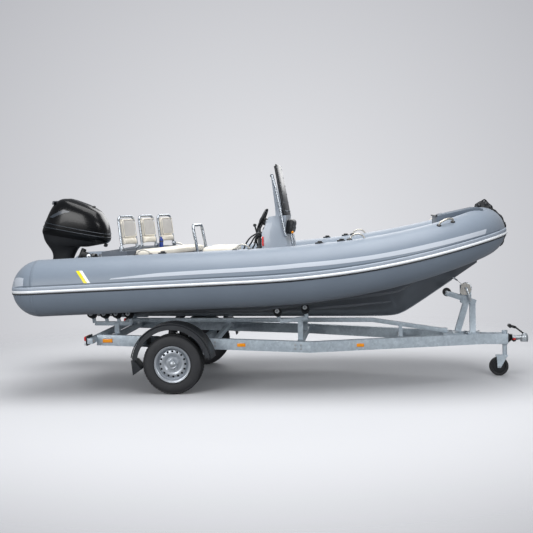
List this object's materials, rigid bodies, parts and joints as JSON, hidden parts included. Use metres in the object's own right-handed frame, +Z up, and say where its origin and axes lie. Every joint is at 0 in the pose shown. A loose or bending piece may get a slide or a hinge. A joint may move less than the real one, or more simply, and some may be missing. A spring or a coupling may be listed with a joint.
{
  "type": "rigid inflatable boat on a trailer",
  "caption": "Rigid inflatable boat with grey tubes, console, folding seat backs and tilted outboard engine, standing on a galvanised road trailer.",
  "frame": {"origin": "on the ground under the middle of the whole outline, on the centre plane", "axes": "+X towards the bow and the tow coupling, +Y to port, +Z up"},
  "size_m": [5.9184, 2.4726, 2.46],
  "materials": {
    "hull_gelcoat": "gloss gelcoat",
    "deck_gelcoat": "satin non-slip gelcoat",
    "tube_fabric": "coated fabric, satin",
    "rub_rubber": "matte rubber",
    "dark_plastic": "matte",
    "black_strap": "matte",
    "seat_gelcoat": "satin gelcoat",
    "pale_gelcoat": "gloss gelcoat",
    "cushion_vinyl": "soft vinyl",
    "pad_vinyl": "soft vinyl",
    "stainless": "polished stainless steel",
    "canister_blue": "gloss",
    "console_gelcoat": "gloss gelcoat",
    "smoked_screen": "smoked acrylic",
    "helm_black": "satin",
    "engine_black": "gloss black",
    "engine_casting": "satin black",
    "galvanised": "hot-dip galvanised",
    "rim_silver": "silver paint",
    "tyre_rubber": "matte",
    "guard_plastic": "matte",
    "roller_rubber": "matte",
    "lamp_red": "moulded lens",
    "coupling_steel": "zinc plated"
  },
  "bodies": {
    "boat_and_trailer": {"hull": "hull_gelcoat", "deck": "deck_gelcoat", "transom": "hull_gelcoat", "tube_collar": "tube_fabric", "rub_rail": "rub_rubber", "bow_step": "dark_plastic", "bow_fitting": "dark_plastic", "grab_handles": "black_strap", "stern_bench": "seat_gelcoat", "helm_seat": "pale_gelcoat", "cushions": "cushion_vinyl", "seat_brackets": "stainless", "helm_rail": "stainless", "water_canister": "canister_blue", "console": "console_gelcoat", "windscreen": "smoked_screen", "console_bolster": "helm_black", "helm_column": "helm_black", "throttle_box": "helm_black", "engine_bracket": "engine_casting", "frame_rails": "galvanised", "cross_members": "galvanised", "keel_beam": "galvanised", "axle": "galvanised", "mudguards": "guard_plastic", "roller_cradles": "galvanised", "hull_rollers": "roller_rubber", "winch_post": "galvanised", "winch": "roller_rubber", "lamps": "lamp_red", "coupling": "coupling_steel", "jockey_clamp": "galvanised"},
    "wheel_starboard": {"rim_starboard": "rim_silver", "tyre_starboard": "tyre_rubber"},
    "wheel_port": {"rim_port": "rim_silver", "tyre_port": "tyre_rubber"},
    "jockey_mast": {"jockey_tube": "galvanised"},
    "jockey_castor": {"jockey_fork": "galvanised"},
    "jockey_roll": {"jockey_wheel": "roller_rubber"},
    "engine_tilt_unit": {"engine_swivel": "engine_casting"},
    "engine_unit": {"engine_leg": "engine_casting", "engine_cowl": "engine_black"},
    "screw": {"propeller": "engine_casting"},
    "helm": {"steering_wheel": "helm_black"},
    "seat_back_starboard": {"backrest_frame_starboard": "stainless", "backrest_pad_starboard": "pad_vinyl"},
    "seat_back_centre": {"backrest_frame_centre": "stainless", "backrest_pad_centre": "pad_vinyl"},
    "seat_back_port": {"backrest_frame_port": "stainless", "backrest_pad_port": "pad_vinyl"}
  },
  "joints": [
    {"name": "wheel_starboard_roll", "type": "hinge", "parent": "boat_and_trailer", "child": "wheel_starboard", "pos_m": [-0.9308, -0.93, 0.325], "axis": [0, 1, 0], "continuous": true},
    {"name": "wheel_port_roll", "type": "hinge", "parent": "boat_and_trailer", "child": "wheel_port", "pos_m": [-0.9308, 0.93, 0.325], "axis": [0, 1, 0], "continuous": true},
    {"name": "jockey_height", "type": "slide", "parent": "boat_and_trailer", "child": "jockey_mast", "axis": [0, 0, 1], "range_m": [-0.03, 0.07]},
    {"name": "jockey_swivel", "type": "hinge", "parent": "jockey_mast", "child": "jockey_castor", "pos_m": [2.6992, 0, 0.226], "axis": [0, 0, 1], "continuous": true},
    {"name": "jockey_wheel_roll", "type": "hinge", "parent": "jockey_castor", "child": "jockey_roll", "pos_m": [2.6312, 0, 0.1075], "axis": [0, 1, 0], "continuous": true},
    {"name": "engine_tilt", "type": "hinge", "parent": "boat_and_trailer", "child": "engine_tilt_unit", "pos_m": [-2.0808, 0, 1.458], "axis": [0, 1, 0], "range_deg": [-25, 32]},
    {"name": "engine_steer", "type": "hinge", "parent": "engine_tilt_unit", "child": "engine_unit", "pos_m": [-2.18774, 0, 1.50787], "axis": [0.4226, 0, 0.9063], "range_deg": [-30, 30]},
    {"name": "propeller_spin", "type": "hinge", "parent": "engine_unit", "child": "screw", "pos_m": [-2.88748, 0, 1.01766], "axis": [0.9063, 0, -0.4226], "continuous": true},
    {"name": "steering_turn", "type": "hinge", "parent": "boat_and_trailer", "child": "helm", "pos_m": [-0.03424, 0, 1.83015], "axis": [-0.9063, 0, 0.4226], "range_deg": [-540, 540]},
    {"name": "seat_back_fold_starboard", "type": "hinge", "parent": "boat_and_trailer", "child": "seat_back_starboard", "pos_m": [-1.4908, -0.48, 1.57], "axis": [0.2234, 0.9747, 0], "range_deg": [0, 68]},
    {"name": "seat_back_fold_centre", "type": "hinge", "parent": "boat_and_trailer", "child": "seat_back_centre", "pos_m": [-1.3808, 0, 1.57], "axis": [0.2234, 0.9747, 0], "range_deg": [0, 68]},
    {"name": "seat_back_fold_port", "type": "hinge", "parent": "boat_and_trailer", "child": "seat_back_port", "pos_m": [-1.2708, 0.48, 1.57], "axis": [0.2234, 0.9747, 0], "range_deg": [0, 68]}
  ],
  "couplings": [
    {"joint": "steering_turn", "follows": "engine_steer", "ratio": 18}
  ]
}
